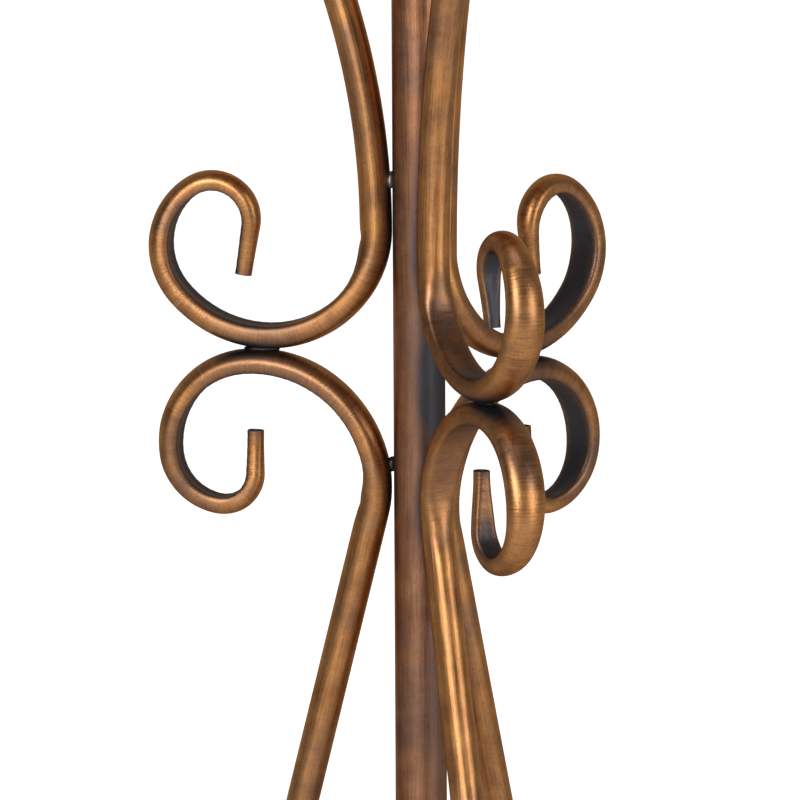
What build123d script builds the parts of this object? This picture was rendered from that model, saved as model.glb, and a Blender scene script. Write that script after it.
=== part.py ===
from build123d import *
from collections import namedtuple
import math
import os

# Plant pedestal of bent steel tube: a straight column, three scroll arms that carry a round tray,
# and three scroll legs. Millimetres, +Z up, origin on the floor under the column's axis.

# Tube stock
COLUMN_R = 25.4 / 2
COLUMN_WALL = 1.5
TUBE_R = 15.9 / 2
TUBE_WALL = 1.2

# Heights above the floor, for the left station
COLUMN_FOOT_Z = 90.0
SPREADER_Z = 112.0
LEG_MEET_Z = 497.5
ARM_MEET_Z = 623.3
ARM_SWELL_Z = 735.0
HOOP_Z = 838.0

# The tubes are bent and set by hand, so each has its own settings: the azimuths where it meets the column and
# where its bending plane points, the gap to the column that its tack weld bridges, its lift from the heights
# above, how far its curl drifts out of plane, what its last straight has extra, and how its bends have grown.
Setting = namedtuple("Setting", "meet heading gap lift drift extra grow")
STATIONS = ("left", "front", "rear")
ARM_SETTING = {
    "left": Setting(171.0, 170.5, 0.38, 1.1, 0.0, 0.0, 1.0),
    "front": Setting(-71.0, -66.0, 0.40, -12.3, -1.5, -1.9, 0.98),
    "rear": Setting(59.0, 46.2, 0.40, -11.0, -0.5, -2.8, 1.02),
}
LEG_SETTING = {
    "left": Setting(171.0, 169.5, 0.92, 0.4, 0.0, 0.0, 1.0),
    "front": Setting(-68.0, -64.5, 0.90, -9.3, -4.5, 6.3, 0.97),
    "rear": Setting(58.0, 44.7, 0.90, -11.6, 3.2, 4.5, 0.99),
}
ARM_FLARE_R = {"left": 380.0, "front": 460.0, "rear": 760.0}

# Bends as (radius, degrees), and straights as (length, 0), from the column to the curl's end
ARM_CURL = ((53.9, 92.1), (58.2, 48.1), (35.0, 96.5), (18.6, 132.6), (24.5, 0))
LEG_CURL = ((59.1, 95.1), (42.1, 91.5), (27.9, 73.8), (16.0, 98.7), (21.5, 0))
DRIFT_START = 0.45
KNEE_R = 58.7
LEG_LEAN = 13.9
ARM_END_R = 95.0
ARM_OVERRUN = 16.0

# Section of the curls: bending folds the inner side of the tube in, and the end is drawn down and shut.
# A fold is given as where it starts along the tube and the length over which it sinks in. The shares give
# width and thickness at distances from the curl's end, against the sides, outer and inner halves below.
PRESSED_SIDE = 9.8
PRESSED_OUTER = 6.7
PRESSED_INNER = 6.3
TROUGH = 1.5
SECTION_SHARES = ((200.0, 0.92, 1.0), (110.0, 1.0, 0.93), (40.0, 0.66, 0.77), (0.0, 0.39, 0.66))
TIP_LENGTH = 40.0
TIP_PRESSED = 0.5
BAND_ANGLE = 15.0
ARM_FOLD = (8.0, 8.0)
LEG_FOLD = (0.0, 15.0)

# Hoop, tray and the hardware at the tray's middle
HOOP_INNER_R = 82.0
HOOP_OUTER_R = 108.0
HOOP_THICK = 4.0
TRAY_R = 152.5
TRAY_DEPTH = 24.0
TRAY_SHEET = 1.2
TRAY_BEND_R = 6.0
TRAY_HEM = 7.0
TRAY_HOLE_R = 3.5
DISH_R = 18.0
DISH_FLOOR_R = 13.0
DISH_DEPTH = 5.4
SCREW_R = 2.95
SCREW_LENGTH = 16.0
SCREW_HEAD_R = 6.5
SCREW_HEAD_HEIGHT = 3.4
WASHER_R = 10.0
WASHER_HOLE_R = 3.2
WASHER_THICK = 1.4
PLUG_LENGTH = 20.0
PLUG_FLANGE = 4.0
TAPPED_R = 3.0

# Foot caps, column end cap and spreader rods
CAP_R = 9.7
CAP_SLEEVE = 19.0
CAP_BASE = 4.6
CAP_EDGE = 1.2
END_CAP_FLANGE = 3.0
END_CAP_SHANK = 14.0
SPREADER_R = 4.0

# Weld beads
TACK_R = 3.8
ARM_TACK_HEIGHT = 8.0
ARM_TACK_CLEARANCE = 0.04
ARM_TACK_RISE = 24.0
LEG_TACK_RISE = 10.0
CURL_BEAD_R = 4.2
CURL_BEAD_LENGTH = 22.0
HOOP_BEAD_R = 3.4
HOOP_BEAD_LENGTH = 15.0
FILLET_LEG = 2.6


def ease(x):
    """Smooth step from 0 to 1."""
    x = min(max(x, 0.0), 1.0)
    return x * x * (3 - 2 * x)


def mix(a, b, share):
    return a + (b - a) * share


def station_plane(setting, height, up):
    """Plane of a bent tube: X runs outwards, Y away from the curl, origin where the tube meets the column."""
    meet, heading = math.radians(setting.meet), math.radians(setting.heading)
    reach = COLUMN_R + setting.gap + TUBE_R
    return Plane(
        origin=(reach * math.cos(meet), reach * math.sin(meet), height + setting.lift),
        x_dir=(math.cos(heading), math.sin(heading), 0),
        z_dir=(up * math.sin(heading), -up * math.cos(heading), 0),
    )


def lay_bends(plane, start, heading, bends):
    """Lays bends and straights end to end in a plane, from a point in a direction, and returns their edges."""
    edges = []
    with BuildLine(plane):
        for size, angle in bends:
            if angle:
                edge = JernArc(start=start, tangent=heading, radius=size, arc_size=angle)
            else:
                edge = Line(start, start + heading * size)
            start, heading = edge @ 1, edge % 1
            edges.append(edge)
    return edges


def along(edges, distance):
    """Point and direction at a distance along edges that lie end to end."""
    for edge in edges:
        if distance <= edge.length:
            return edge @ (distance / edge.length), edge % (distance / edge.length)
        distance -= edge.length
    return edges[-1] @ 1, edges[-1] % 1


def round_section(at):
    with BuildSketch(at) as section:
        Circle(TUBE_R)
    return section.sketch


def shares_at(to_end):
    """Shares of the pressed width and thickness at a distance from a curl's end."""
    for far, near in zip(SECTION_SHARES, SECTION_SHARES[1:]):
        if to_end >= near[0]:
            step = ease((far[0] - to_end) / (far[0] - near[0]))
            return mix(far[1], near[1], step), mix(far[2], near[2], step)


def pressed_section(at, folded, pressed, wide, thick):
    """Section of a curl: half an ellipse outside, and inside a wall that sinks to a trough as it is pressed."""
    side = mix(TUBE_R, PRESSED_SIDE * wide, folded)
    outer = mix(TUBE_R, PRESSED_OUTER * thick, folded)
    inner = mix(TUBE_R, PRESSED_INNER * thick, folded)
    floor = inner - TROUGH * pressed * thick
    bulge = mix(0.55, 1.63, pressed) * inner
    near = mix(0.55, 0.5, pressed) * side
    crease = 0.02
    with BuildSketch(at) as section:
        with BuildLine():
            EllipticalCenterArc((0, 0), side, outer, 0, arc_size=180)
            Bezier((-side, 0), (-side, -bulge), (-near, -floor - crease), (0, -floor))
            Bezier((0, -floor), (near, -floor - crease), (side, -bulge), (side, 0))
        make_face()
    return section.sketch


def hand_bent(bends, setting):
    """Bends of one tube: the pattern's, grown, with the last straight's extra length."""
    grown = [(size * setting.grow, angle) for size, angle in bends[:-1]]
    return grown + [(bends[-1][0] + setting.extra, 0)]


def curl_sections(plane, start, heading, bends, fold, drift):
    """Sections of a curl, from the round tube to its shut end, a short band apart."""
    edges = lay_bends(plane, start, heading, bends)
    fold_from, fold_over = fold
    stops, done = {0.0}, 0.0
    for edge, (_, angle) in zip(edges, bends):
        bands = max(1, math.ceil(angle / BAND_ANGLE))
        stops.update(done + edge.length * band / bands for band in range(bands))
        done += edge.length
    folds = {fold_from + fold_over * share for share in (0, 1 / 3, 2 / 3, 1)}
    stops = folds | {0.0, done} | {stop for stop in stops if stop > fold_from + fold_over + 5}
    sections = []
    for stop in sorted(stops):
        point, direction = along(edges, stop)
        point += plane.z_dir * drift * ease((stop / done - DRIFT_START) / (1 - DRIFT_START))
        at = Plane(origin=point, x_dir=plane.z_dir, z_dir=direction)
        if stop == 0:
            sections.append(round_section(at))
            continue
        folded = ease((stop - fold_from) / fold_over)
        pressed = mix(folded, TIP_PRESSED, ease((stop - done + TIP_LENGTH) / TIP_LENGTH))
        wide, thick = shares_at(done - stop)
        sections.append(pressed_section(at, folded, pressed, wide, thick))
    return sections


# Column: a plain round tube, open at both ends for its plug and its cap.
TRAY_Z = HOOP_Z + HOOP_THICK
COLUMN_TOP_Z = TRAY_Z - DISH_DEPTH - PLUG_FLANGE
with BuildPart() as column_tube:
    with BuildSketch(Plane.XY.offset(COLUMN_FOOT_Z)):
        Circle(COLUMN_R)
        Circle(COLUMN_R - COLUMN_WALL, mode=Mode.SUBTRACT)
    extrude(amount=COLUMN_TOP_Z - COLUMN_FOOT_Z)

# Top plug: a flange under the tray's dish, on a shank with a tapped hole for the tray's screw.
with BuildPart() as column_top_plug:
    with BuildSketch(Plane.XY.offset(COLUMN_TOP_Z)):
        Circle(COLUMN_R)
    extrude(amount=PLUG_FLANGE)
    with BuildSketch(Plane.XY.offset(COLUMN_TOP_Z)):
        Circle(COLUMN_R - COLUMN_WALL)
    extrude(amount=-PLUG_LENGTH)
    with BuildSketch(Plane.XY.offset(COLUMN_TOP_Z + PLUG_FLANGE)):
        Circle(TAPPED_R)
    extrude(amount=-PLUG_LENGTH - PLUG_FLANGE, mode=Mode.SUBTRACT)

# End cap: a thin bevelled flange under the column, on a shank pushed up into it.
with BuildPart() as column_end_cap:
    with BuildSketch(Plane.XY.offset(COLUMN_FOOT_Z)):
        Circle(COLUMN_R)
    extrude(amount=-END_CAP_FLANGE)
    chamfer(column_end_cap.edges().sort_by(Axis.Z)[0], length=END_CAP_FLANGE / 2)
    with BuildSketch(Plane.XY.offset(COLUMN_FOOT_Z)):
        Circle(COLUMN_R - COLUMN_WALL)
    extrude(amount=END_CAP_SHANK)


# Upper arms: from its curl each arm rises past the column, flares out and turns under the hoop.
def build_upper_arm(plane, flare_r, setting):
    lean = math.degrees(math.asin((ARM_SWELL_Z - plane.origin.Z) / flare_r))
    reach = COLUMN_R + setting.gap + TUBE_R
    under_hoop = plane.origin + plane.x_dir * (ARM_END_R - reach) + plane.y_dir * (HOOP_Z - plane.origin.Z)
    bends = hand_bent(ARM_CURL, setting)
    sections = curl_sections(plane, plane.origin, -plane.y_dir, bends, ARM_FOLD, setting.drift)
    with BuildPart() as arm:
        with BuildLine(plane):
            flare = JernArc(start=plane.origin, tangent=plane.y_dir, radius=flare_r, arc_size=-lean)
            turn = TangentArc(flare @ 1, under_hoop, tangent=flare % 1)
            Line(turn @ 1, turn @ 1 + (turn % 1) * ARM_OVERRUN)
        with BuildSketch(Plane(origin=plane.origin, x_dir=plane.z_dir, z_dir=plane.y_dir)):
            Circle(TUBE_R)
        sweep()
        split(bisect_by=Plane.XY.offset(HOOP_Z), keep=Keep.BOTTOM)
        loft(sections=sections, ruled=True)
    return arm


# Lower legs: from its curl each leg drops past the column, bends at the knee and runs straight to its foot.
def build_lower_leg(plane, knee, foot, setting):
    down = knee % 1
    run = (foot - knee @ 1).length
    bends = [(KNEE_R, LEG_LEAN)] + hand_bent(LEG_CURL, setting)
    sections = curl_sections(plane, knee @ 1, -down, bends, LEG_FOLD, setting.drift)
    with BuildPart() as leg:
        with BuildSketch(Plane(origin=knee @ 1, x_dir=plane.z_dir, z_dir=down)):
            Circle(TUBE_R)
        extrude(amount=run)
        loft(sections=sections, ruled=True)
        with BuildSketch(Plane(origin=foot, x_dir=plane.z_dir, z_dir=-down)):
            Circle(TUBE_R - TUBE_WALL)
        extrude(amount=run, mode=Mode.SUBTRACT)
    return leg


# Foot caps: a sleeve over the leg's end, in line with the leg, with its base cut level for the floor.
def build_foot_cap(seat):
    with BuildPart() as cap:
        with BuildSketch(seat.offset(CAP_SLEEVE)):
            Circle(CAP_R)
        extrude(amount=-CAP_SLEEVE - 2 * CAP_BASE)
        chamfer(cap.edges().sort_by(Axis.Z)[-1], length=CAP_EDGE)
        with BuildSketch(seat):
            Circle(TUBE_R)
        extrude(amount=CAP_SLEEVE, mode=Mode.SUBTRACT)
        split(bisect_by=Plane.XY, keep=Keep.TOP)
    return cap


# Spreader rods: short round rods from the column's lower end to the legs, coped to both.
def build_spreader_rod(start, leg_cut):
    with BuildPart() as rod:
        with BuildSketch(start):
            Circle(SPREADER_R)
        extrude(amount=(leg_cut.origin - start.origin).length)
        with BuildSketch(Plane.XY.offset(SPREADER_Z)):
            Circle(COLUMN_R)
        extrude(amount=2 * SPREADER_R, both=True, mode=Mode.SUBTRACT)
        with BuildSketch(leg_cut):
            Circle(TUBE_R)
        extrude(amount=3 * SPREADER_R, both=True, mode=Mode.SUBTRACT)
    return rod


arm_plane, leg_plane, leg_seat = {}, {}, {}
upper_arm, lower_leg, foot_cap, spreader_rod, spreader_start, spreader_cut = {}, {}, {}, {}, {}, {}
for station in STATIONS:
    arm_plane[station] = station_plane(ARM_SETTING[station], ARM_MEET_Z, 1)
    upper_arm[station] = build_upper_arm(arm_plane[station], ARM_FLARE_R[station], ARM_SETTING[station])

    plane = station_plane(LEG_SETTING[station], LEG_MEET_Z, -1)
    leg_plane[station] = plane
    knee = lay_bends(plane, plane.origin, plane.y_dir, ((KNEE_R, -LEG_LEAN),))[0]
    down = knee % 1
    foot = knee @ 1 + down * ((knee @ 1).Z - CAP_BASE) / -down.Z
    leg_seat[station] = Plane(origin=foot, x_dir=plane.z_dir, z_dir=-down)
    lower_leg[station] = build_lower_leg(plane, knee, foot, LEG_SETTING[station])
    foot_cap[station] = build_foot_cap(leg_seat[station])

    leg_point = foot - down * (SPREADER_Z - foot.Z) / -down.Z
    column_point = leg_point - plane.x_dir * leg_point.dot(plane.x_dir)
    spreader_start[station] = Plane(origin=column_point, x_dir=plane.z_dir, z_dir=plane.x_dir)
    spreader_cut[station] = Plane(origin=leg_point, x_dir=plane.z_dir, z_dir=-down)
    spreader_rod[station] = build_spreader_rod(spreader_start[station], spreader_cut[station])

# Hoop: flat bar rolled on its flat, which the arms' ends are welded under.
with BuildPart() as tray_hoop:
    with BuildSketch(Plane.XY.offset(HOOP_Z)):
        Circle(HOOP_OUTER_R)
        Circle(HOOP_INNER_R, mode=Mode.SUBTRACT)
    extrude(amount=HOOP_THICK)

# Tray: a shallow round pan of sheet steel with a folded rim, and a dish in the middle that its screw sits in.
DISH_Z = TRAY_Z - DISH_DEPTH
with BuildPart() as tray:
    with BuildSketch(Plane.XZ):
        wall_r = TRAY_R - TRAY_SHEET
        with BuildLine():
            Polyline((TRAY_HOLE_R, DISH_Z), (DISH_FLOOR_R, DISH_Z), (DISH_R, TRAY_Z))
            floor = Line((DISH_R, TRAY_Z), (wall_r - TRAY_BEND_R, TRAY_Z))
            bend = JernArc(start=floor @ 1, tangent=floor % 1, radius=TRAY_BEND_R, arc_size=90)
            Line(bend @ 1, (wall_r, TRAY_Z + TRAY_DEPTH))
            offset(amount=TRAY_SHEET, side=Side.LEFT)
        make_face()
        with Locations((wall_r, TRAY_Z + TRAY_DEPTH)):
            Rectangle(TRAY_SHEET, TRAY_HEM, align=(Align.MIN, Align.MAX))
    revolve(axis=Axis.Z)

# Washer and screw at the tray's middle; the screw has a domed head and a cross slot.
WASHER_Z = DISH_Z + TRAY_SHEET
with BuildPart() as tray_washer:
    with BuildSketch(Plane.XY.offset(WASHER_Z)):
        Circle(WASHER_R)
        Circle(WASHER_HOLE_R, mode=Mode.SUBTRACT)
    extrude(amount=WASHER_THICK)

HEAD_Z = WASHER_Z + WASHER_THICK
with BuildPart() as tray_screw:
    with BuildSketch(Plane.XZ):
        with BuildLine():
            shank = Polyline(
                (0, HEAD_Z + SCREW_HEAD_HEIGHT), (0, HEAD_Z - SCREW_LENGTH), (SCREW_R, HEAD_Z - SCREW_LENGTH),
                (SCREW_R, HEAD_Z), (SCREW_HEAD_R, HEAD_Z), (SCREW_HEAD_R, HEAD_Z + 0.8),
            )  # fmt: skip
            TangentArc(shank @ 0, shank @ 1, tangent=(1, 0))
        make_face()
    revolve(axis=Axis.Z)
    with BuildSketch(Plane.XY.offset(HEAD_Z + SCREW_HEAD_HEIGHT)):
        Rectangle(SCREW_HEAD_R, 1.2)
        Rectangle(1.2, SCREW_HEAD_R)
    extrude(amount=-2.2, mode=Mode.SUBTRACT)


def between_column_and(tube_point):
    """The point halfway across the gap between the column and a tube whose centre is given."""
    away = Vector(tube_point.X, tube_point.Y, 0)
    middle = (COLUMN_R + away.length - TUBE_R) / 2
    return away.normalized() * middle + Vector(0, 0, tube_point.Z)


def build_arm_tack(center, tube_at):
    """A short upright weld in the gap between the column and an arm, cut to both."""
    with BuildPart() as tack:
        with BuildSketch(Plane(origin=center)):
            Circle(TACK_R)
        extrude(amount=ARM_TACK_HEIGHT / 2, both=True)
        with BuildSketch(Plane.XY.offset(center.Z)):
            Circle(COLUMN_R)
        extrude(amount=ARM_TACK_HEIGHT, both=True, mode=Mode.SUBTRACT)
        with BuildSketch(tube_at):
            Circle(TUBE_R + ARM_TACK_CLEARANCE)
        extrude(amount=ARM_TACK_HEIGHT, both=True, mode=Mode.SUBTRACT)
    return tack


def build_leg_tack(center, tube):
    """A round tack weld in the gap between the column and a leg."""
    with BuildPart() as tack:
        with Locations(center):
            Sphere(TACK_R)
        with BuildSketch(Plane.XY.offset(center.Z)):
            Circle(COLUMN_R)
        extrude(amount=2 * TACK_R, both=True, mode=Mode.SUBTRACT)
        add(tube, mode=Mode.SUBTRACT)
    return tack


def build_bead(at, radius, length, tubes):
    """A straight weld bead with bevelled ends along a plane's Z, cut by the tubes that it joins."""
    with BuildPart() as bead:
        with BuildSketch(at.offset(-length / 2)):
            Circle(radius)
        extrude(amount=length)
        chamfer(bead.edges().filter_by(GeomType.CIRCLE), length=radius * 0.4)
        for tube in tubes:
            add(tube, mode=Mode.SUBTRACT)
    return bead


def build_fillet(at, cut, cut_r):
    """A weld fillet around a spreader rod, from a plane on it back into the tube that it meets."""
    with BuildPart() as ring:
        with BuildSketch(at):
            Circle(SPREADER_R + 0.2)
        with BuildSketch(at.offset(-FILLET_LEG * 3)):
            Circle(SPREADER_R + FILLET_LEG * 2)
        loft()
        with BuildSketch(at.offset(-FILLET_LEG * 3)):
            Circle(SPREADER_R)
        extrude(amount=FILLET_LEG * 3, mode=Mode.SUBTRACT)
        with BuildSketch(cut):
            Circle(cut_r)
        extrude(amount=8 * SPREADER_R, both=True, mode=Mode.SUBTRACT)
    return ring


# Weld beads: tacks on the column, one bead between each pair of curls, one at each arm's end, and fillets.
arm_tacks, leg_tacks, curl_beads, hoop_beads, fillets = [], [], [], [], []
for station in STATIONS:
    plane, flare_r = arm_plane[station], ARM_FLARE_R[station]
    lean = math.asin(ARM_TACK_RISE / flare_r)
    swell = flare_r * (1 - math.cos(lean))
    tube_point = plane.origin + plane.x_dir * swell + plane.y_dir * ARM_TACK_RISE
    rising = plane.x_dir * math.sin(lean) + plane.y_dir * math.cos(lean)
    tube_at = Plane(origin=tube_point, x_dir=plane.z_dir, z_dir=rising)
    arm_tacks.append(build_arm_tack(between_column_and(tube_point), tube_at))

    arm_r = ARM_CURL[0][0] * ARM_SETTING[station].grow
    curl_r = LEG_CURL[0][0] * LEG_SETTING[station].grow
    swell = curl_r - math.sqrt(curl_r**2 - LEG_TACK_RISE**2)
    tube_point = leg_plane[station].origin + leg_plane[station].x_dir * swell - leg_plane[station].y_dir * LEG_TACK_RISE
    leg_tacks.append(build_leg_tack(between_column_and(tube_point), lower_leg[station].part))

    arm_low = plane.origin + plane.x_dir * arm_r - plane.y_dir * (arm_r + PRESSED_OUTER)
    leg_high = leg_plane[station].origin + (leg_plane[station].x_dir - leg_plane[station].y_dir) * curl_r
    leg_high += Vector(0, 0, PRESSED_OUTER)
    middle = Plane(origin=(arm_low + leg_high) / 2, x_dir=plane.z_dir, z_dir=plane.x_dir)
    tubes = (upper_arm[station].part, lower_leg[station].part)
    curl_beads.append(build_bead(middle, CURL_BEAD_R, CURL_BEAD_LENGTH, tubes))

    inner_foot = plane.origin + plane.x_dir * (ARM_END_R - COLUMN_R - 2.5 * TUBE_R)
    corner = Plane(origin=(inner_foot.X, inner_foot.Y, HOOP_Z - 1), x_dir=plane.x_dir, z_dir=plane.z_dir)
    hoop_beads.append(build_bead(corner, HOOP_BEAD_R, HOOP_BEAD_LENGTH, (upper_arm[station].part, tray_hoop.part)))

    start, leg_cut = spreader_start[station], spreader_cut[station]
    span = (leg_cut.origin - start.origin).length
    fillets.append(build_fillet(start.offset(COLUMN_R + FILLET_LEG), Plane.XY.offset(SPREADER_Z), COLUMN_R))
    outward = Plane(origin=leg_cut.origin, x_dir=start.x_dir, z_dir=-start.z_dir)
    fillets.append(build_fillet(outward.offset(TUBE_R + FILLET_LEG), leg_cut, TUBE_R))


def gather(beads):
    """Beads of one kind kept together as one piece of several solids."""
    with BuildPart() as group:
        add([bead.part for bead in beads])
    return group


pieces = {
    "column_tube": column_tube,
    "column_top_plug": column_top_plug,
    "column_end_cap": column_end_cap,
    "tray_hoop": tray_hoop,
    "tray": tray,
    "tray_washer": tray_washer,
    "tray_screw": tray_screw,
    "arm_tack_welds": gather(arm_tacks),
    "leg_tack_welds": gather(leg_tacks),
    "curl_welds": gather(curl_beads),
    "hoop_welds": gather(hoop_beads),
    "spreader_welds": gather(fillets),
}
for station in STATIONS:
    pieces[f"upper_arm_{station}"] = upper_arm[station]
    pieces[f"lower_leg_{station}"] = lower_leg[station]
    pieces[f"foot_cap_{station}"] = foot_cap[station]
    pieces[f"spreader_rod_{station}"] = spreader_rod[station]

os.makedirs("parts", exist_ok=True)
for name, piece in pieces.items():
    piece.part.label = name
    export_step(piece.part, f"parts/{name}.step")
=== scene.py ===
import math
from collections import namedtuple

import bmesh
import bpy
from mathutils import Matrix, Vector, kdtree, noise


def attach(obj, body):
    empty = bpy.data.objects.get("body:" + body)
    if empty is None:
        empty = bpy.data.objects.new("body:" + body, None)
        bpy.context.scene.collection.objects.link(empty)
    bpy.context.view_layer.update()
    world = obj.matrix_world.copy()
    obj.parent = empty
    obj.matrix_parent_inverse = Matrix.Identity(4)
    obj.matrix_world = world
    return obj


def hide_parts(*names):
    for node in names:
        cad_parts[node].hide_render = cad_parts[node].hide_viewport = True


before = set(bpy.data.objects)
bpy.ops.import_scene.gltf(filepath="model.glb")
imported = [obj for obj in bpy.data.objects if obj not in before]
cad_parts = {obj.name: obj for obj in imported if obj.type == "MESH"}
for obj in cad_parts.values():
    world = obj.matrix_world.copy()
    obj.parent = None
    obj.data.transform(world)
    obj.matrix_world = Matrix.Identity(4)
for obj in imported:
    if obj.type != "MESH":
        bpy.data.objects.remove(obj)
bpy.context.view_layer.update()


# Bent tubes: six lengths of 15.9 mm steel tube, three arms above and three legs below. Each is curled at one
# end on a hand bender, which folds the tube's inner side in from the first bend on, and the tip is hammered
# down and shut. They are copper plated, darkened, brushed back to bright on their outer faces and lacquered.

# Sizes are in millimetres, angles in degrees. A finished mesh is in metres.
COLUMN_R = 12.7
TUBE_R = 7.95
ARM_MEET = 623.3
LEG_MEET = 497.5
HOOP_Z = 838.0

# Bends from the column on, each a radius and an angle, and last the straight length up to the tip.
ARM_CURL = ((53.9, 92.1), (58.2, 48.1), (35.0, 96.5), (18.6, 132.6), (24.5, 0))
LEG_CURL = ((59.1, 95.1), (42.1, 91.5), (27.9, 73.8), (16.0, 98.7), (21.5, 0))
KNEE = (58.7, 13.9)

# A leg stops this far above the ground. An arm leans out gently up to the height of its swell, and from there
# in one arc to the hoop, this far from the column's axis, where an overrun is cut off level.
FOOT_END = 4.6
ARM_SWELL = 735.0
ARM_END = 95.0
ARM_OVERRUN = 16.0
ARM_FLARE = {"left": 380.0, "front": 460.0, "rear": 760.0}

# Each tube was set by hand: azimuth where it meets the column, heading of its bends, gap to the column, lift,
# sideways drift of the curl, extra length at the tip, and growth of the curl.
Setting = namedtuple("Setting", "meet heading gap lift drift extra grow")
ARM_SETTING = {
    "left": Setting(171.0, 170.5, 0.38, 1.1, 0.0, 0.0, 1.0),
    "front": Setting(-71.0, -66.0, 0.40, -12.3, -1.5, -1.9, 0.98),
    "rear": Setting(59.0, 46.2, 0.40, -11.0, -0.5, -2.8, 1.02),
}
LEG_SETTING = {
    "left": Setting(171.0, 169.5, 0.92, 0.4, 0.0, 0.0, 1.0),
    "front": Setting(-68.0, -64.5, 0.90, -9.3, -4.5, 6.3, 0.97),
    "rear": Setting(58.0, 44.7, 0.90, -11.6, 3.2, 4.5, 0.99),
}
DRIFT_FROM = 0.45

# Half sizes of the pressed section, the depth of its trough, and its width and thickness as shares of those
# at distances from the curl's tip.
PRESSED_SIDE = 9.8
PRESSED_OUTER = 6.7
PRESSED_INNER = 6.3
TROUGH = 1.5
SHARES = ((200.0, 0.92, 1.0), (110.0, 1.0, 0.93), (40.0, 0.66, 0.77), (0.0, 0.39, 0.66))
TIP_LENGTH = 40.0
TIP_PRESSED = 0.5
TIP_RIM = 0.9
TIP_MOUTH = 0.84
TIP_SUNK = 0.5

# Handles of the section's inner curves: a round quarter, and the bulge and the shoulder of a folded one.
ROUND_HANDLE = 0.5523
FOLD_BULGE = 1.2
FOLD_SHOULDER = 0.64

# Where each fold starts along the tube and how long it takes to sink in. The trough and the outer half of the
# section take longer, and a kink, faint chatter marks and shallow dents are left by the bender.
ARM_FOLD = {"left": (2.0, 34.0), "front": (8.0, 16.0), "rear": (4.0, 26.0)}
LEG_FOLD = {"left": (0.0, 26.0), "front": (-2.0, 34.0), "rear": (0.0, 26.0)}
TROUGH_LAG = 16.0
OUTER_LAG = 28.0
KINK_AFTER = 3.0
KINK_LENGTH = 4.0
KINK_DEPTH = 0.75
CHATTER = 0.07
CHATTER_TURN = 1.3
DENT = 0.09

# How dark the patina is left, from 0 to 1, and the distances over which it fades. Beside the column and where
# two curls touch, painted shade is added to it.
FOLD_SHADE = (0.32, 0.95)
LEG_TIP_RUBBED = 0.35
COLUMN_PATINA_AND_SHADE = 0.9
COLUMN_FADE = 3.2
KINK_SHADE = 0.35
TIP_SHADE = 0.35
MOUTH_SHADE = 0.9
TOUCH_PATINA_AND_SHADE = 1.1
TOUCH_FADE = 15.0
ARM_HAZE_AND_SHADE = 0.34
LEG_HAZE_AND_SHADE = 0.2
HAZE_FADE = 28.0

AROUND = 48
CURL_STEP = 1.6
ARM_STEP = 3.0
LEG_STEP = 8.0
SHARP_CUT = 50


def ease(x):
    x = min(max(x, 0.0), 1.0)
    return x * x * (3 - 2 * x)


def mix(a, b, share):
    return a + (b - a) * share


def bell(distance, spread):
    return math.exp(-(distance / spread) ** 2)


def shares_at(to_tip):
    """Width and thickness of the pressed tube, as shares, at a distance from its tip."""
    for far, near in zip(SHARES, SHARES[1:]):
        if to_tip >= near[0]:
            step = ease((far[0] - to_tip) / (far[0] - near[0]))
            return mix(far[1], near[1], step), mix(far[2], near[2], step)


def walk(start, heading, bends, step):
    """Points, headings and distances along bends laid end to end in the bending plane."""
    x, y = start
    stops, done = [(x, y, heading, 0.0)], 0.0
    for size, angle in bends:
        turn = math.radians(angle)
        length = size * abs(turn) if angle else size
        count = max(2, math.ceil(length / step))
        for i in range(1, count + 1):
            run = length * i / count
            if angle:
                side = 1 if turn > 0 else -1
                now = heading + side * run / size
                px = x + side * size * (math.sin(now) - math.sin(heading))
                py = y - side * size * (math.cos(now) - math.cos(heading))
            else:
                now = heading
                px, py = x + run * math.cos(heading), y + run * math.sin(heading)
            stops.append((px, py, now, done + run))
        x, y, heading, done = stops[-1][0], stops[-1][1], stops[-1][2], done + length
    return stops


def tangent_arc(start, heading, end):
    """Radius and signed degrees of the arc that leaves a point in a direction and ends at another point."""
    dx, dy = end[0] - start[0], end[1] - start[1]
    chord = math.hypot(dx, dy)
    half = math.remainder(math.atan2(dy, dx) - heading, 2 * math.pi)
    return chord / (2 * math.sin(abs(half))), math.degrees(2 * half)


def arm_path(origin, reach, bends, flare):
    """Stops of an arm's curl, and of its limb from the column up to the hoop."""
    lean = math.degrees(math.asin((ARM_SWELL - origin.z) / flare))
    swell = walk((0, 0), math.pi / 2, [(flare, -lean)], ARM_STEP)[-1]
    radius, turn = tangent_arc(swell[:2], swell[2], (ARM_END - reach, HOOP_Z - origin.z))
    limb = walk((0, 0), math.pi / 2, [(flare, -lean), (radius, turn), (ARM_OVERRUN, 0)], ARM_STEP)
    return walk((0, 0), -math.pi / 2, bends, CURL_STEP), limb


def leg_path(origin, bends):
    """Stops of a leg's knee and curl, and of its straight limb from the knee down to the foot."""
    size, lean = KNEE[0], math.radians(KNEE[1])
    start = (size * (1 - math.cos(lean)), size * math.sin(lean))
    drop = origin.z - start[1] - FOOT_END
    limb = walk(start, math.pi / 2 - lean, [(drop / math.cos(lean), 0)], LEG_STEP)
    return walk(start, -math.pi / 2 - lean, [KNEE] + bends, CURL_STEP), limb


def tube_rings(curl_stops, limb, fold):
    """Each ring's point, heading and distance, how far it is folded and pressed, and its two shares."""
    fold_from, fold_over = fold
    total = curl_stops[-1][3]
    rings = [(x, y, now + math.pi, -run, 0.0, 0.0, 1.0, 1.0) for x, y, now, run in reversed(limb[1:])]
    for x, y, now, run in curl_stops:
        folded = ease((run - fold_from) / fold_over)
        pressed = ease((run - fold_from) / (fold_over + TROUGH_LAG))
        pressed = mix(pressed, TIP_PRESSED, ease((run - total + TIP_LENGTH) / TIP_LENGTH))
        rings.append((x, y, now, run, folded, pressed, *shares_at(total - run)))
    return rings


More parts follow.
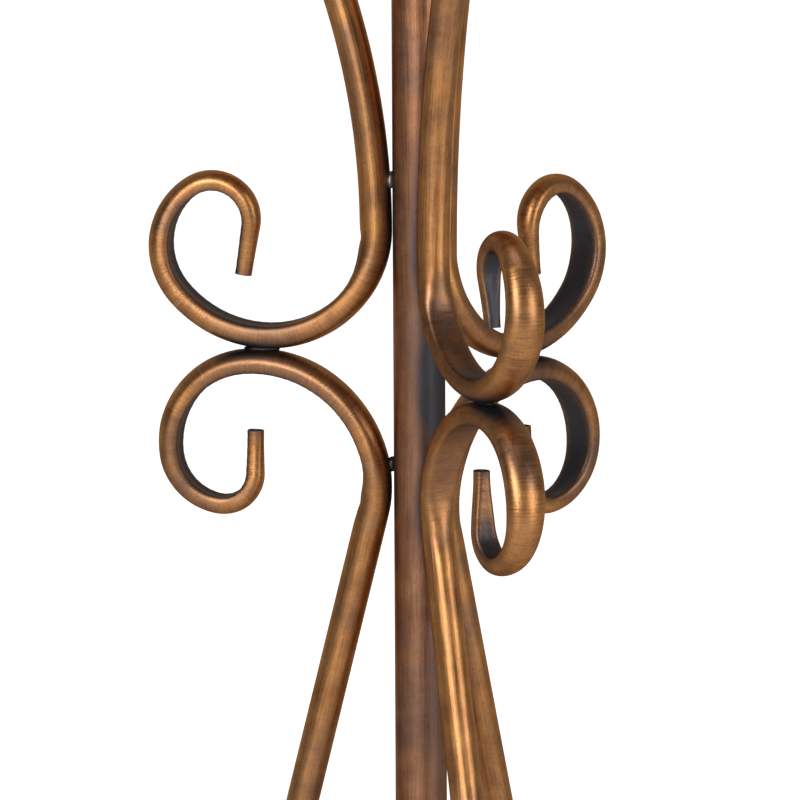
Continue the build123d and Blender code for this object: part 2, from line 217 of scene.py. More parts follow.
def section_point(share, side, outer, inner, pressed, thick):
    """Point of the tube's section: half an ellipse outside, and a wall that sinks to a trough inside."""
    if share <= 0.5:
        turn = 2 * math.pi * share
        return side * math.cos(turn), outer * math.sin(turn)
    floor = inner - TROUGH * pressed * thick
    bulge = mix(ROUND_HANDLE, FOLD_BULGE, pressed) * inner
    near = mix(ROUND_HANDLE, FOLD_SHOULDER, pressed) * side
    t = (share - 0.5) * 4
    mirror = -1
    if t > 1:
        t, mirror = 2 - t, 1
    a, b, c, d = (1 - t) ** 3, 3 * (1 - t) ** 2 * t, 3 * (1 - t) * t**2, t**3
    x = side * a + side * b + near * c
    y = -(bulge * b + (floor + 0.02) * c + floor * d)
    return mirror * x, y


def sample_noise(point, scale, seed):
    return noise.noise(Vector(point) * scale + Vector((seed, seed * 0.37, seed * 1.7)))


def patina_and_shade_at(point, run, share, folded, kink, touching, total, is_arm):
    """How dark the plate is left: patina in the fold and at the tip, and patina with painted shade beside the
    column and where two curls touch.
    """
    inwards = max(0.0, -math.sin(2 * math.pi * share))
    outwards = max(0.0, math.sin(2 * math.pi * share))
    rubbed = 1.0 if is_arm else mix(1.0, LEG_TIP_RUBBED, ease((run - total + 36) / 20))
    in_fold = mix(*FOLD_SHADE, ease((run - 55) / 60)) * rubbed * inwards**1.2 * folded
    off_column = max(0.0, math.hypot(point.x, point.y) - COLUMN_R)
    # Beside the column the darkness is patina with painted shade of the crevice between tube and column.
    shade = in_fold + COLUMN_PATINA_AND_SHADE * bell(off_column, COLUMN_FADE) + KINK_SHADE * kink
    shade += TIP_SHADE * ease((run - total + 6) / 6)
    # Where two curls touch, patina by their weld and painted shade between them darken both curls, most on the
    # faces turned to each other.
    shade += TOUCH_PATINA_AND_SHADE * bell(run - touching - 5, TOUCH_FADE) * outwards**1.5
    shade += (ARM_HAZE_AND_SHADE if is_arm else LEG_HAZE_AND_SHADE) * bell(run - touching, HAZE_FADE)
    return min(1.0, shade)


def cut_level(build, height, up):
    """Cuts a mesh off level at a height in metres, taking off what is above if up is 1, and closes it."""
    cut = bmesh.ops.bisect_plane(
        build, geom=build.verts[:] + build.edges[:] + build.faces[:],
        plane_co=(0, 0, height), plane_no=(0, 0, up), clear_outer=True,
    )
    rim = [edge for edge in cut["geom_cut"] if isinstance(edge, bmesh.types.BMEdge)]
    bmesh.ops.edgeloop_fill(build, edges=rim)


def put_piece(name, build, sharp=None):
    """The finished mesh as a smooth object, creased only where it turns more than the sharp angle."""
    mesh = bpy.data.meshes.new(name)
    build.to_mesh(mesh)
    build.free()
    mesh.shade_smooth()
    if sharp:
        mesh.set_sharp_from_angle(angle=math.radians(sharp))
    piece = bpy.data.objects.new(name, mesh)
    bpy.context.collection.objects.link(piece)
    return piece


def fit_piece(piece, material, finish, *parts):
    """Gives a piece its material and puts it in the place of its CAD parts."""
    piece.data.materials.append(material)
    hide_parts(*parts)
    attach(piece, "root")


def join_rings(build, low, high):
    ways = [(i, (i + 1) % AROUND) for i in range(AROUND)]
    return [build.faces.new((low[i], low[k], high[k], high[i])) for i, k in ways]


def shut_tip(build, patina_and_shade, last, ahead):
    """The hammered tip: its rim turns in and sinks a little, and stays dark."""
    middle = sum((vert.co for vert in last), Vector()) / AROUND
    back = Vector(ahead) * (-TIP_SUNK / 1000)
    edge = [build.verts.new(middle + (vert.co - middle) * TIP_RIM) for vert in last]
    sunk = [build.verts.new(middle + (vert.co - middle) * TIP_MOUTH + back) for vert in last]
    hub = build.verts.new(middle + back)
    for vert in edge + sunk + [hub]:
        vert[patina_and_shade] = MOUTH_SHADE
    for low, high in ((last, edge), (edge, sunk)):
        join_rings(build, low, high)
    for i in range(AROUND):
        build.faces.new((sunk[i], sunk[(i + 1) % AROUND], hub))


def bend_tube(name, up, setting, meet_z, curl, fold, flare):
    """One bent tube as a smooth skin. Up is 1 for an arm and -1 for a leg, and only an arm has a flare."""
    meet, heading = math.radians(setting.meet), math.radians(setting.heading)
    reach = COLUMN_R + setting.gap + TUBE_R
    origin = Vector((reach * math.cos(meet), reach * math.sin(meet), meet_z + setting.lift))
    out = Vector((math.cos(heading), math.sin(heading), 0))
    away = Vector((0, 0, up))
    across = out.cross(away)
    bends = [(size * setting.grow, angle) for size, angle in curl[:-1]] + [(curl[-1][0] + setting.extra, 0)]
    curl_stops, limb = arm_path(origin, reach, bends, flare) if flare else leg_path(origin, bends)
    total = curl_stops[-1][3]
    before_curl = 0.0 if flare else KNEE[0] * math.radians(KNEE[1])
    touching = before_curl + curl[0][0] * setting.grow * math.pi / 2
    seed = sum(map(ord, name)) % 97

    build = bmesh.new()
    # The patina layer holds patina, and also painted shade beside the column and where two curls touch.
    patina_and_shade = build.verts.layers.float.new("patina")
    curled = build.verts.layers.float.new("curled")
    layer = build.loops.layers.uv.new("brush")
    rows = []
    for x, y, now, run, folded, pressed, wide, thick in tube_rings(curl_stops, limb, fold):
        ahead = out * math.cos(now) + away * math.sin(now)
        outwards = out * math.sin(now) - away * math.cos(now)
        side_shift = setting.drift * ease((run / total - DRIFT_FROM) / (1 - DRIFT_FROM)) if run > 0 else 0.0
        centre = origin + out * x + away * y + across * side_shift
        side = mix(TUBE_R, PRESSED_SIDE * wide, folded)
        settled = ease((run - fold[0]) / (fold[1] + OUTER_LAG))
        outer = mix(TUBE_R, PRESSED_OUTER * thick, settled)
        inner = mix(TUBE_R, PRESSED_INNER * thick, folded)
        row = []
        for i in range(AROUND):
            share = i / AROUND
            u, v = section_point(share, side, outer, inner, pressed, thick)
            depth = max(0.0, -math.sin(2 * math.pi * share))
            kink = bell(run - fold[0] - KINK_AFTER, KINK_LENGTH) * depth**3
            v += KINK_DEPTH * kink * (1 - 0.5 * pressed)
            if folded > 0:
                waver = 3 * sample_noise((run, 0, 0), 0.08, seed)
                v += CHATTER * folded * depth * math.sin(run * CHATTER_TURN + waver)
            point = centre + across * u + outwards * v
            dent = DENT * sample_noise(point, 0.09, seed) * max(folded, 0.3)
            point += (across * u + outwards * v).normalized() * dent
            vert = build.verts.new(point / 1000)
            vert[curled] = ease((run + 6) / 24)
            vert[patina_and_shade] = patina_and_shade_at(point, run, share, folded, kink, touching, total, bool(flare))
            row.append(vert)
        rows.append((row, run / 1000))

    # Distance around and along the tube, for the brush marks, with the seam on the inner face.
    girth = 2 * math.pi * TUBE_R / 1000
    for (low, low_run), (high, high_run) in zip(rows, rows[1:]):
        for i, face in enumerate(join_rings(build, low, high)):
            first = (i + AROUND // 4) % AROUND
            corners = ((first, low_run), (first + 1, low_run), (first + 1, high_run), (first, high_run))
            for loop, (around, along) in zip(face.loops, corners):
                loop[layer].uv = (girth * around / AROUND, along)
    shut_tip(build, patina_and_shade, rows[-1][0], ahead)
    build.faces.new(rows[0][0][::-1])
    if flare:
        cut_level(build, HOOP_Z / 1000, 1)
    bmesh.ops.recalc_face_normals(build, faces=build.faces[:])
    return put_piece(name, build, SHARP_CUT), origin / 1000, out, across


def node(tree, kind, inputs=None, **settings):
    """A shader node with its settings and inputs, each a value or another node's output."""
    made = tree.nodes.new(kind)
    for key, value in settings.items():
        setattr(made, key, value)
    for key, value in (inputs or {}).items():
        if isinstance(value, bpy.types.NodeSocket):
            tree.links.new(value, made.inputs[key])
        else:
            made.inputs[key].default_value = value
    return made


def maths(tree, operation, *values):
    return node(tree, "ShaderNodeMath", dict(enumerate(values)), operation=operation).outputs[0]


def clamped(tree, value):
    return node(tree, "ShaderNodeClamp", {0: value}).outputs[0]


def between(tree, value, low, high, least=0.0, most=1.0):
    """Turns a value's place between low and high into one between least and most."""
    return node(tree, "ShaderNodeMapRange", {
        "Value": value, "From Min": low, "From Max": high, "To Min": least, "To Max": most,
    }).outputs[0]


def speckle(tree, place, scale, detail, roughness=0.5):
    return node(tree, "ShaderNodeTexNoise", {
        "Vector": place, "Scale": scale, "Detail": detail, "Roughness": roughness,
    }).outputs[0]


def brushed(tree, place, marks, detail):
    """Brush marks, as fine as the three numbers say along X, Y and Z."""
    stretched = node(tree, "ShaderNodeMapping", {"Vector": place, "Scale": marks}).outputs[0]
    return speckle(tree, stretched, 1.0, detail)


def blend(tree, share, first, second):
    return node(tree, "ShaderNodeMix", {0: share, 2: first, 3: second}, data_type="FLOAT").outputs[0]


def blend_colour(tree, share, first, second):
    return node(tree, "ShaderNodeMix", {0: share, 6: first, 7: second}, data_type="RGBA").outputs[2]


def blank_material(name):
    material = bpy.data.materials.new(name)
    material.use_nodes = True
    material.node_tree.nodes.clear()
    return material, material.node_tree


def surface(tree, shader):
    tree.links.new(shader.outputs[0], node(tree, "ShaderNodeOutputMaterial").inputs[0])


def lacquered_metal(tree, colour, gloss, coat, strokes, grain, strength, depth):
    """Plated metal under lacquer, with its brush marks and grain as relief."""
    height = maths(tree, "ADD", maths(tree, "MULTIPLY", strokes, 0.8), maths(tree, "MULTIPLY", grain, 0.2))
    relief = node(tree, "ShaderNodeBump", {"Strength": strength, "Distance": depth, "Height": height})
    surface(tree, node(tree, "ShaderNodeBsdfPrincipled", {
        "Base Color": colour, "Metallic": 1.0, "Roughness": gloss, "Specular Tint": (0.5, 0.36, 0.28, 1),
        "Coat Weight": coat, "Coat Roughness": 0.22, "Normal": relief.outputs[0],
    }))


BRIGHT = (0.68, 0.32, 0.11, 1)
DARK = (0.28, 0.115, 0.045, 1)
VIOLET = (0.16, 0.10, 0.08, 1)
PATINA = (0.062, 0.06, 0.068, 1)


def antique_copper(name, bright, dark, violet, brush, rough, coat, turned=False):
    """Brushed and darkened copper plate under lacquer. The brush is how fine its marks are around and along,
    and turned marks run along the straight parts of a tube and across its curls."""
    material, tree = blank_material(name)
    run = node(tree, "ShaderNodeUVMap", uv_map="brush").outputs[0]
    spot = node(tree, "ShaderNodeTexCoord").outputs["Object"]
    strokes = brushed(tree, run, (brush[0], brush[1], 1.0), 4.0)
    if turned:
        straight = brushed(tree, run, (brush[1], brush[0] / 2, 1.0), 4.0)
        curled = node(tree, "ShaderNodeAttribute", attribute_name="curled").outputs["Fac"]
        strokes = blend(tree, curled, straight, strokes)
    blotches = speckle(tree, spot, 70.0, 6.0, 0.6)
    clouds = between(tree, speckle(tree, spot, 21.0, 6.0, 0.65), 0.48, 0.68)
    grain = speckle(tree, spot, 1000.0, 2.0)
    pits = between(tree, grain, 0.57, 0.70)
    # The patina attribute holds patina, and in places painted shade, which darken the copper toward the patina
    # colour.
    patina_and_shade = node(tree, "ShaderNodeAttribute", attribute_name="patina").outputs["Fac"]

    tone = maths(tree, "MULTIPLY_ADD", blotches, 1.5, -0.35)
    tone = maths(tree, "MULTIPLY_ADD", strokes, 1.3, maths(tree, "SUBTRACT", tone, 0.55))
    copper = blend_colour(tree, clamped(tree, tone), dark, bright)
    copper = blend_colour(tree, maths(tree, "MULTIPLY", clouds, 0.72), copper, violet)
    copper = blend_colour(tree, maths(tree, "MULTIPLY", pits, 0.4), copper, PATINA)
    spread = maths(tree, "MULTIPLY", maths(tree, "SUBTRACT", blotches, 0.5), 0.9)
    cover = maths(tree, "ADD", maths(tree, "MULTIPLY", patina_and_shade, 1.15), maths(tree, "MULTIPLY", spread, patina_and_shade))
    cover = clamped(tree, cover)
    gloss = maths(tree, "MULTIPLY_ADD", strokes, 0.3, rough - 0.15)
    gloss = maths(tree, "MULTIPLY_ADD", cover, 0.15, gloss)
    colour = blend_colour(tree, cover, copper, PATINA)
    lacquered_metal(tree, colour, gloss, coat, strokes, grain, 0.45, 0.0003)
    return material


tube_finish = antique_copper("brushed_copper_tube", BRIGHT, DARK, VIOLET, (70.0, 1300.0), 0.39, 0.12, True)
tubes, stations = [], {}

for station in ("left", "front", "rear"):
    arm, *arm_place = bend_tube(
        f"bent_arm_{station}", 1, ARM_SETTING[station], ARM_MEET, ARM_CURL, ARM_FOLD[station],
        ARM_FLARE[station],
    )
    leg, *leg_place = bend_tube(
        f"bent_leg_{station}", -1, LEG_SETTING[station], LEG_MEET, LEG_CURL, LEG_FOLD[station], None
    )
    tubes += [arm, leg]
    stations[station] = arm_place, leg_place
    fit_piece(arm, tube_finish, "bent_tube", f"upper_arm_{station}")
    fit_piece(leg, tube_finish, "bent_tube", f"lower_leg_{station}")


# Column: one straight length of 25.4 mm tube with a plug in its top, plated and lacquered as the bent tubes
# are and brushed along its length. Patina and painted shade darken it where the tubes crowd it, and shadows
# of the front curls are painted on it.
COLUMN_FOOT = 90.0
COLUMN_TOP = 832.6
COLUMN_BORE_R = 11.2
PLUG_FLANGE = 4.0
PLUG_DEPTH = 20.0
PLUG_BORE_R = 3.0

# Painted shadows of the front curls on the column: the side of the column that they face, then height, spread
# and strength.
SHADOW_SIDE = (0.62, -0.78)
CURL_SHADOWS = ((550.0, 36.0, 1.7), (390.0, 70.0, 0.6))


def softened(corners, steps=4):
    """Closed outline with its corners rounded. Each corner is across, up and its radius, in millimetres."""
    soft = []
    for i, (x, y, radius) in enumerate(corners):
        here = Vector((x, y))
        before = Vector(corners[i - 1][:2]) - here
        after = Vector(corners[(i + 1) % len(corners)][:2]) - here
        if radius == 0:
            soft.append((x, y))
            continue
        half = before.angle(after) / 2
        run = radius / math.tan(half)
        hub = here + (before.normalized() + after.normalized()).normalized() * radius / math.sin(half)
        first, last = here + before.normalized() * run - hub, here + after.normalized() * run - hub
        for k in range(steps + 1):
            arm = first.normalized().slerp(last.normalized(), k / steps).normalized() * radius
            soft.append((hub.x + arm.x, hub.y + arm.y))
    return soft


def spun(name, outline, place=Matrix(), count=96, longest=8.0):
    """A piece turned about its own axis from a closed outline, with distances around and along it kept."""
    points, total = [], 0.0
    for i, here in enumerate(outline):
        ahead = outline[(i + 1) % len(outline)]
        a, b = Vector(here) / 1000, Vector(ahead) / 1000
        parts = max(1, math.ceil((b - a).length * 1000 / longest))
        for k in range(parts):
            points.append((a.lerp(b, k / parts), total + (b - a).length * k / parts))
        total += (b - a).length
    build = bmesh.new()
    build.verts.layers.float.new("patina")
    layer = build.loops.layers.uv.new("brush")
    rows = []
    for point, _ in points:
        row = []
        for i in range(count):
            turn = 2 * math.pi * i / count
            spot = Vector((point.x * math.cos(turn), point.x * math.sin(turn), point.y))
            row.append(build.verts.new(place @ spot))
        rows.append(row)
    for j, row in enumerate(rows):
        above = rows[(j + 1) % len(rows)]
        low, high = points[j][1], points[j + 1][1] if j + 1 < len(points) else total
        girth = 2 * math.pi * points[j][0].x
        for i in range(count):
            face = build.faces.new((row[i], row[(i + 1) % count], above[(i + 1) % count], above[i]))
            for loop, (u, v) in zip(face.loops, ((i, low), (i + 1, low), (i + 1, high), (i, high))):
                loop[layer].uv = (girth * u / count, v)
    bmesh.ops.remove_doubles(build, verts=build.verts[:], dist=1e-7)
    bmesh.ops.recalc_face_normals(build, faces=build.faces[:])
    return put_piece(name, build, 35)


def leave_patina_and_shade(column):
    """Darkens the column with patina and painted shade where a bent tube is close to it, and paints streaked
    shadows of the front curls beside them.
    """
    nearby = kdtree.KDTree(sum(len(tube.data.vertices) for tube in tubes))
    for tube in tubes:
        for vert in tube.data.vertices:
            nearby.insert(vert.co, vert.index)
    nearby.balance()
    patina = column.data.attributes["patina"].data
    for vert in column.data.vertices:
        x, y, z = vert.co
        streak = 0.5 + 0.5 * sample_noise((x, y, z * 0.12), 130.0, 5)
        # Painted shadow of the front curls, in streaks, on the side of the column that faces them.
        faced = max(0.0, (SHADOW_SIDE[0] * x + SHADOW_SIDE[1] * y) * 1000 / COLUMN_R)
        curl_shadow = sum(strength * bell(z * 1000 - height, spread) for height, spread, strength in CURL_SHADOWS)
        # Patina and painted shade where a bent tube is close to the column.
        crowded = 1.15 * bell(nearby.find(vert.co)[2] * 1000, 5.5)
        patina[vert.index].value = min(1.0, crowded + faced**2.2 * curl_shadow * (0.5 + 0.5 * streak))


column_finish = antique_copper(
    "brushed_copper_upright", (0.50, 0.235, 0.11, 1), (0.21, 0.09, 0.05, 1), (0.15, 0.105, 0.095, 1),
    (1300.0, 30.0), 0.43, 0.1,
)
column = spun("column", softened([
    (COLUMN_BORE_R, COLUMN_FOOT, 0.3), (COLUMN_R, COLUMN_FOOT, 0.3),
    (COLUMN_R, COLUMN_TOP, 0.3), (COLUMN_BORE_R, COLUMN_TOP, 0.3),
], 2), longest=4.0)
leave_patina_and_shade(column)
fit_piece(column, column_finish, "column_finish", "column_tube")
PLUG_TOP = COLUMN_TOP + PLUG_FLANGE
plug = spun("column_plug", softened([
    (PLUG_BORE_R, COLUMN_TOP - PLUG_DEPTH, 0), (COLUMN_BORE_R, COLUMN_TOP - PLUG_DEPTH, 0.6),
    (COLUMN_BORE_R, COLUMN_TOP, 0), (COLUMN_R, COLUMN_TOP, 0.3), (COLUMN_R, PLUG_TOP, 0.5),
    (PLUG_BORE_R, PLUG_TOP, 0.3),
]))
fit_piece(plug, column_finish, "rod_and_hoop", "column_top_plug")


# Welds: short beads run by hand between the tubes and never ground. Most were darkened with the rest, and the
# beads between the column and the arms show their grey metal.
ARM_BEAD = (4.2, 6.0, 2.3)
ARM_BEAD_RISE = 24.0
LEG_BEAD = (3.8, 4.1, 2.6)
LEG_BEAD_RISE = 10.0
CURL_BEAD = (8.8, 3.8, 1.9)
HOOP_BEAD = (7.2, 3.0, 2.4)
HOOP_BEAD_DROP = 1.0
EVEN_GRAIN = (700.0, 700.0, 700.0)
UP = Vector((0, 0, 1))


def dressed(material, *parts):
    """A CAD part that keeps its own shape gets its material."""
    for part in parts:
        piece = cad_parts[part]
        if not piece.data.materials:
            piece.data.materials.append(None)
        for place in piece.material_slots:
            place.link = "OBJECT"
            place.material = material


def plated(name, bright, dark, patina, marks, rough, coat, shadow):
    """Plated steel or brass. Marks is how fine its grain is along X, Y and Z, and shadow how dark it gets."""
    material, tree = blank_material(name)
    spot = node(tree, "ShaderNodeTexCoord").outputs["Object"]
    strokes = brushed(tree, spot, marks, 3.0)
    blotches = speckle(tree, spot, 48.0, 4.0)
    grain = speckle(tree, spot, 900.0, 2.0)
    pits = between(tree, grain, 0.60, 0.72)
    tone = maths(tree, "MULTIPLY_ADD", blotches, 0.9, -0.2)
    tone = maths(tree, "MULTIPLY_ADD", strokes, 0.6, tone)
    copper = blend_colour(tree, clamped(tree, tone), dark, bright)
    cover = maths(tree, "MULTIPLY", between(tree, blotches, 0.52, 0.75), shadow)
    cover = maths(tree, "MAXIMUM", cover, maths(tree, "MULTIPLY", pits, 0.4))
    gloss = maths(tree, "MULTIPLY_ADD", strokes, 0.16, rough - 0.08)
    colour = blend_colour(tree, cover, copper, patina)
    lacquered_metal(tree, colour, gloss, coat, strokes, grain, 0.22, 0.0002)
    return material


def weld_beads(name, runs):
    """Lumpy beads with the ripples of the welding run, each from a centre, its axes and its half sizes."""
    build = bmesh.new()
    for number, (centre, axes, halves) in enumerate(runs):
        made = bmesh.ops.create_icosphere(build, subdivisions=4, radius=1.0)
        for vert in made["verts"]:
            unit = vert.co.copy()
            at = [part * half / 1000 for part, half in zip(unit, halves)]
            lump = 0.00045 * sample_noise(at, 420.0, number + len(name))
            lump += 0.0002 * sample_noise(at, 1100.0, number)
            lump += 0.00012 * math.sin(at[0] * 3100.0 + at[1] * 1600.0)
            spread = sum((axis * part for axis, part in zip(axes, at)), Vector())
            vert.co = centre + spread + sum((axis * part for axis, part in zip(axes, unit)), Vector()) * lump
    return put_piece(name, build)


def bead_by_column(start, outwards, bend_r, rise, halves):
    """An upright bead in the gap between the column and a tube that bends away from where it starts."""
    bend_r, rise = bend_r / 1000, rise / 1000
    tube_at = start + outwards * (bend_r - math.sqrt(bend_r**2 - rise**2)) + UP * rise
    flat = Vector((tube_at.x, tube_at.y, 0))
    facing = flat.normalized()
    gap_at = facing * (COLUMN_R / 1000 + flat.length - TUBE_R / 1000) / 2 + UP * tube_at.z
    return gap_at, (UP, facing.cross(UP), facing), halves


weld_finish = plated(
    "darkened_weld", (0.085, 0.06, 0.05, 1), (0.035, 0.03, 0.03, 1), (0.02, 0.02, 0.025, 1), EVEN_GRAIN,
    0.5, 0.1, 0.6,
)
raw_weld_finish = plated(
    "grey_weld", (0.44, 0.41, 0.39, 1), (0.17, 0.15, 0.14, 1), (0.04, 0.04, 0.045, 1), EVEN_GRAIN,
    0.48, 0.1, 0.4,
)
arm_runs, leg_runs, curl_runs, hoop_runs = [], [], [], []
for station, ((arm_at, out, across), (leg_at, leg_out, _)) in stations.items():
    arm_r = ARM_CURL[0][0] * ARM_SETTING[station].grow
    leg_r = LEG_CURL[0][0] * LEG_SETTING[station].grow
    arm_runs.append(bead_by_column(arm_at, out, ARM_FLARE[station], ARM_BEAD_RISE, ARM_BEAD))
    leg_runs.append(bead_by_column(leg_at, leg_out, leg_r, LEG_BEAD_RISE, LEG_BEAD))
    low = arm_at + out * (arm_r / 1000) - UP * ((arm_r + PRESSED_OUTER) / 1000)
    high = leg_at + leg_out * (leg_r / 1000) + UP * ((leg_r + PRESSED_OUTER) / 1000)
    curl_runs.append(((low + high) / 2, (out, across, UP), CURL_BEAD))
    corner = arm_at + out * ((ARM_END - COLUMN_R - 2.5 * TUBE_R) / 1000)
    corner.z = (HOOP_Z - HOOP_BEAD_DROP) / 1000
    hoop_runs.append((corner, (across, out, UP), HOOP_BEAD))
fit_piece(weld_beads("column_to_arm_welds", arm_runs), raw_weld_finish, "weld_metal", "arm_tack_welds")
fit_piece(weld_beads("column_to_leg_welds", leg_runs), weld_finish, "weld_metal", "leg_tack_welds")
fit_piece(weld_beads("welds_between_curls", curl_runs), weld_finish, "weld_metal", "curl_welds")
fit_piece(weld_beads("arm_to_hoop_welds", hoop_runs), weld_finish, "weld_metal", "hoop_welds")
dressed(weld_finish, "spreader_welds")


# Tray: spun from 1.2 mm sheet, with its rim folded down outside and a dish in the middle for the screw. It is
# brushed in rings. It sits on a hoop of flat bar that the three arms are welded under.
HOOP_TOP = 842.0
HOOP_INNER_R = 82.0
HOOP_OUTER_R = 108.0
SHEET = 1.2
TRAY_R = 152.5
WALL_R = 151.3
FOLD_R = 151.6
FOLD_FOOT = 859.0
RIM_Z = 866.0
SCREW_HOLE_R = 3.5
DISH_FLOOR_R = 13.0
DISH_R = 18.0

tray_finish = antique_copper(
    "brushed_copper_rings", (0.55, 0.265, 0.11, 1), (0.32, 0.145, 0.065, 1), VIOLET, (40.0, 1300.0), 0.4, 0.12
)
tray = spun("tray_pan", softened([
    (SCREW_HOLE_R, PLUG_TOP, 0), (DISH_FLOOR_R, PLUG_TOP, 1.5), (DISH_R, HOOP_TOP, 1.5),
    (WALL_R, HOOP_TOP, 6.0),
    (WALL_R, FOLD_FOOT, 0), (FOLD_R, FOLD_FOOT, 0), (TRAY_R, FOLD_FOOT, 0.5), (TRAY_R, RIM_Z, 1.1),
    (WALL_R - SHEET, RIM_Z, 1.1), (WALL_R - SHEET, HOOP_TOP + SHEET, 4.8),
    (DISH_R - 0.5, HOOP_TOP + SHEET, 1.0),
    (DISH_FLOOR_R - 0.4, PLUG_TOP + SHEET, 1.0), (SCREW_HOLE_R, PLUG_TOP + SHEET, 0),
], 6), count=160, longest=6.0)
fit_piece(tray, tray_finish, "tray_sheet", "tray")
hoop = spun("tray_ring", softened([
    (HOOP_INNER_R, HOOP_Z, 0.7), (HOOP_OUTER_R, HOOP_Z, 0.7),
    (HOOP_OUTER_R, HOOP_TOP, 0.7), (HOOP_INNER_R, HOOP_TOP, 0.7),
]), count=160)
fit_piece(hoop, tray_finish, "rod_and_hoop", "tray_hoop")


# Rods and screw: three short rods of plated steel tie the legs to the column's lower end and are welded at both
# ends. A brass screw with its washer holds the tray down on the column's plug.
rod_finish = plated("copper_rod", BRIGHT, DARK, PATINA, (600.0, 600.0, 600.0), 0.4, 0.15, 0.35)
dressed(rod_finish, "spreader_rod_left", "spreader_rod_front", "spreader_rod_rear")
screw_finish = plated(
    "dull_brass", (0.55, 0.38, 0.18, 1), (0.35, 0.24, 0.12, 1), PATINA, (900.0, 900.0, 900.0), 0.35, 0.0, 0.3
)
dressed(screw_finish, "tray_screw", "tray_washer")


# Foot caps and end cap: moulded black rubber sleeves pushed over the legs' ends, with two grip grooves and a
# base cut level, and a plastic cap in the column's foot.
CAP_R = 9.7
CAP_TOP = 19.0
CAP_BELOW = -12.0
GROOVE_R = 9.35
GROOVES = (11.6, 14.8)
BY_AXIS = 0.01
END_CAP_FOOT = 87.0
END_CAP_TOP = 104.0


def moulded(name, colour, rough):
    """Moulded rubber or plastic with a fine grain and a little dust."""
    material, tree = blank_material(name)
    spot = node(tree, "ShaderNodeTexCoord").outputs["Object"]
    grain = speckle(tree, spot, 1400.0, 3.0)
    dust = speckle(tree, spot, 90.0, 4.0)
    pale = tuple(min(1.0, part * 2.2) for part in colour[:3]) + (1,)
    shade = blend_colour(tree, maths(tree, "MULTIPLY", dust, 0.6), colour, pale)
    gloss = maths(tree, "MULTIPLY_ADD", dust, 0.15, rough - 0.07)
    relief = node(tree, "ShaderNodeBump", {"Strength": 0.3, "Distance": 0.0002, "Height": grain})
    surface(tree, node(tree, "ShaderNodeBsdfPrincipled", {
        "Base Color": shade, "Roughness": gloss, "Normal": relief.outputs[0],
    }))
    return material


rubber = moulded("black_rubber", (0.022, 0.022, 0.023, 1), 0.62)
plastic = moulded("black_plastic", (0.018, 0.018, 0.02, 1), 0.45)
grooved = []
for low in GROOVES:
    grooved += [
        (CAP_R, low, 0.2), (GROOVE_R, low + 0.4, 0.15), (GROOVE_R, low + 1.1, 0.15), (CAP_R, low + 1.5, 0.2),
    ]
cap_outline = softened(
    [(BY_AXIS, CAP_BELOW, 0), (CAP_R, CAP_BELOW, 0)]
    + grooved
    + [(CAP_R, CAP_TOP, 1.1), (TUBE_R, CAP_TOP, 0.3), (TUBE_R, 0, 0), (BY_AXIS, 0, 0)]
)
for station, (_, (leg_at, leg_out, leg_across)) in stations.items():
    knee_r, lean = KNEE[0] / 1000, math.radians(KNEE[1])
    knee_at = leg_at + leg_out * knee_r * (1 - math.cos(lean)) - UP * knee_r * math.sin(lean)
    axis = UP * math.cos(lean) - leg_out * math.sin(lean)
    foot_at = knee_at - axis * (knee_at.z - FOOT_END / 1000) / math.cos(lean)
    turn = Matrix((leg_across, axis.cross(leg_across), axis)).transposed().to_4x4()
    place = Matrix.Translation(foot_at) @ turn
    cap = spun(f"foot_sleeve_{station}", cap_outline, place, count=64, longest=4.0)
    build = bmesh.new()
    build.from_mesh(cap.data)
    cut_level(build, 0, -1)
    build.to_mesh(cap.data)
    build.free()
    fit_piece(cap, rubber, "foot_rubber", f"foot_cap_{station}")
end_cap = spun("column_end_plug", softened([
    (BY_AXIS, END_CAP_FOOT, 0), (COLUMN_R, END_CAP_FOOT, 1.8), (COLUMN_R, COLUMN_FOOT, 0.2),
    (COLUMN_BORE_R, COLUMN_FOOT, 0), (COLUMN_BORE_R, END_CAP_TOP, 0.8), (BY_AXIS, END_CAP_TOP, 0),
]), count=72)
fit_piece(end_cap, plastic, "end_cap_plastic", "column_end_cap")


# Studio: a wide pale floor that stays white behind the stand and keeps its shadow, a pale surround that is
# brighter behind than in front, four soft lamps, and a camera at the angle of the photograph.
# The floor, the lamps and the camera are placed in metres.
FLOOR = 12.0
WHITE = (1, 1, 1, 1)

paper, tree = blank_material("white_paper")
path = node(tree, "ShaderNodeLightPath")
matt = node(tree, "ShaderNodeBsdfDiffuse", {"Color": (0.82, 0.82, 0.82, 1)})
seen = maths(tree, "ADD", path.outputs["Is Camera Ray"], path.outputs["Is Transmission Ray"])
ground = node(tree, "ShaderNodeNewGeometry").outputs["Position"]
distance = node(tree, "ShaderNodeVectorMath", {0: ground}, operation="LENGTH").outputs["Value"]
paleness = between(tree, distance, 0.25, 1.8, 0.38, 0.95)
behind = between(tree, node(tree, "ShaderNodeSeparateXYZ", {0: ground}).outputs["Y"], 0.2, 2.5)
mirrored = maths(tree, "MULTIPLY", path.outputs["Is Glossy Ray"], behind)
glow = maths(tree, "MULTIPLY", maths(tree, "ADD", seen, maths(tree, "MULTIPLY", mirrored, 0.5)), paleness)
lit = node(tree, "ShaderNodeEmission", {"Color": WHITE, "Strength": glow})
surface(tree, node(tree, "ShaderNodeAddShader", {0: matt.outputs[0], 1: lit.outputs[0]}))

floor_mesh = bpy.data.meshes.new("studio_floor")
corners = [(-FLOOR, -FLOOR, 0), (FLOOR, -FLOOR, 0), (FLOOR, FLOOR, 0), (-FLOOR, FLOOR, 0)]
floor_mesh.from_pydata(corners, [], [(0, 1, 2, 3)])
floor_mesh.materials.append(paper)
floor = bpy.data.objects.new("studio_floor", floor_mesh)
bpy.context.collection.objects.link(floor)

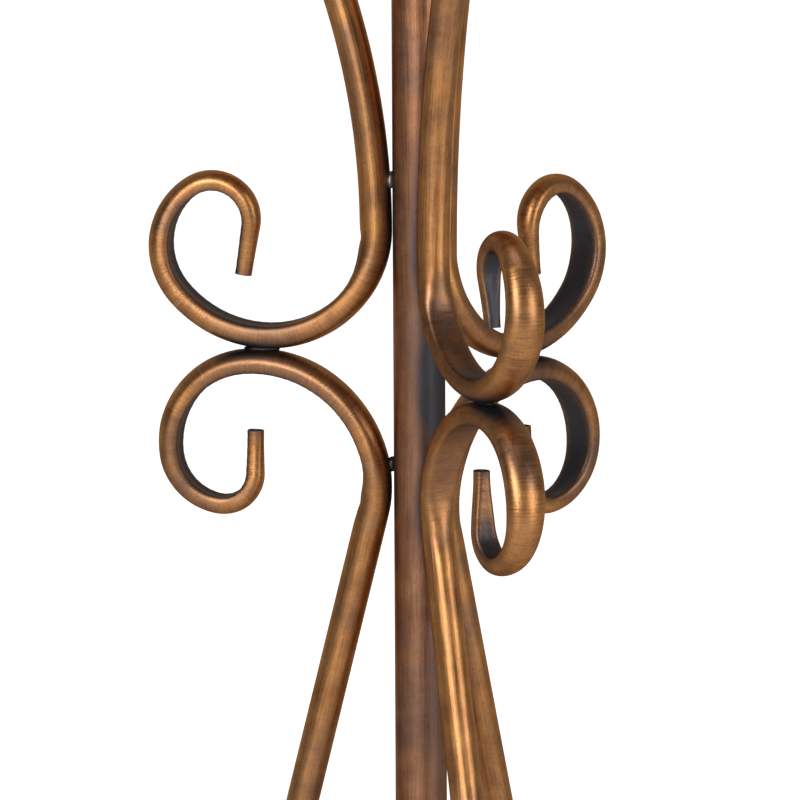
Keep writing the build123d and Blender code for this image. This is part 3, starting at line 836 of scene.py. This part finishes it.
world = bpy.context.scene.world or bpy.data.worlds.new("surround")
bpy.context.scene.world = world
world.use_nodes = True
tree = world.node_tree
tree.nodes.clear()
path = node(tree, "ShaderNodeLightPath")
generated = node(tree, "ShaderNodeTexCoord").outputs["Generated"]
toward = node(tree, "ShaderNodeSeparateXYZ", {0: generated}).outputs["Y"]
behind = between(tree, toward, -0.3, 0.9, 0.05, 0.5)
mirrored = maths(tree, "MULTIPLY", path.outputs["Is Glossy Ray"], between(tree, toward, 0.4, 0.95))
seen = maths(tree, "ADD", path.outputs["Is Camera Ray"], path.outputs["Is Transmission Ray"])
seen = maths(tree, "ADD", seen, maths(tree, "MULTIPLY", mirrored, 0.5))
glow = node(tree, "ShaderNodeBackground", {"Color": WHITE, "Strength": blend(tree, seen, behind, 1.0)})
tree.links.new(glow.outputs[0], node(tree, "ShaderNodeOutputWorld").inputs[0])


def soft_lamp(name, place, aim, width, height, power):
    light = bpy.data.lights.new(name, "AREA")
    light.shape = "RECTANGLE"
    light.size, light.size_y, light.energy = width, height, power
    lamp = bpy.data.objects.new(name, light)
    lamp.location = place
    lamp.rotation_euler = (Vector(aim) - Vector(place)).to_track_quat("-Z", "Y").to_euler()
    bpy.context.collection.objects.link(lamp)


MIDDLE = (0, 0, 0.55)
soft_lamp("softbox_left", (-1.0, -2.2, 1.7), MIDDLE, 0.8, 1.3, 34.0)
soft_lamp("softbox_right", (1.9, -1.4, 0.9), MIDDLE, 0.6, 1.4, 16.0)
soft_lamp("softbox_front", (-0.75, -3.3, 1.25), MIDDLE, 0.55, 1.5, 26.0)
soft_lamp("softbox_top", (0.0, -0.2, 2.6), (0, 0, 0.5), 1.2, 1.2, 14.0)

view = bpy.data.cameras.new("photo_view")
view.lens = 285.6
view.sensor_width = 36.0
view.clip_end = 100.0
camera = bpy.data.objects.new("photo_view", view)
camera.matrix_world = (
    Matrix.Translation((-0.0095, -3.0491, 1.0996))
    @ Matrix.Rotation(math.radians(79.6), 4, "X")
    @ Matrix.Rotation(math.radians(-0.3), 4, "Z")
)
bpy.context.collection.objects.link(camera)
bpy.context.scene.camera = camera
bpy.context.scene.view_settings.view_transform = "Standard"
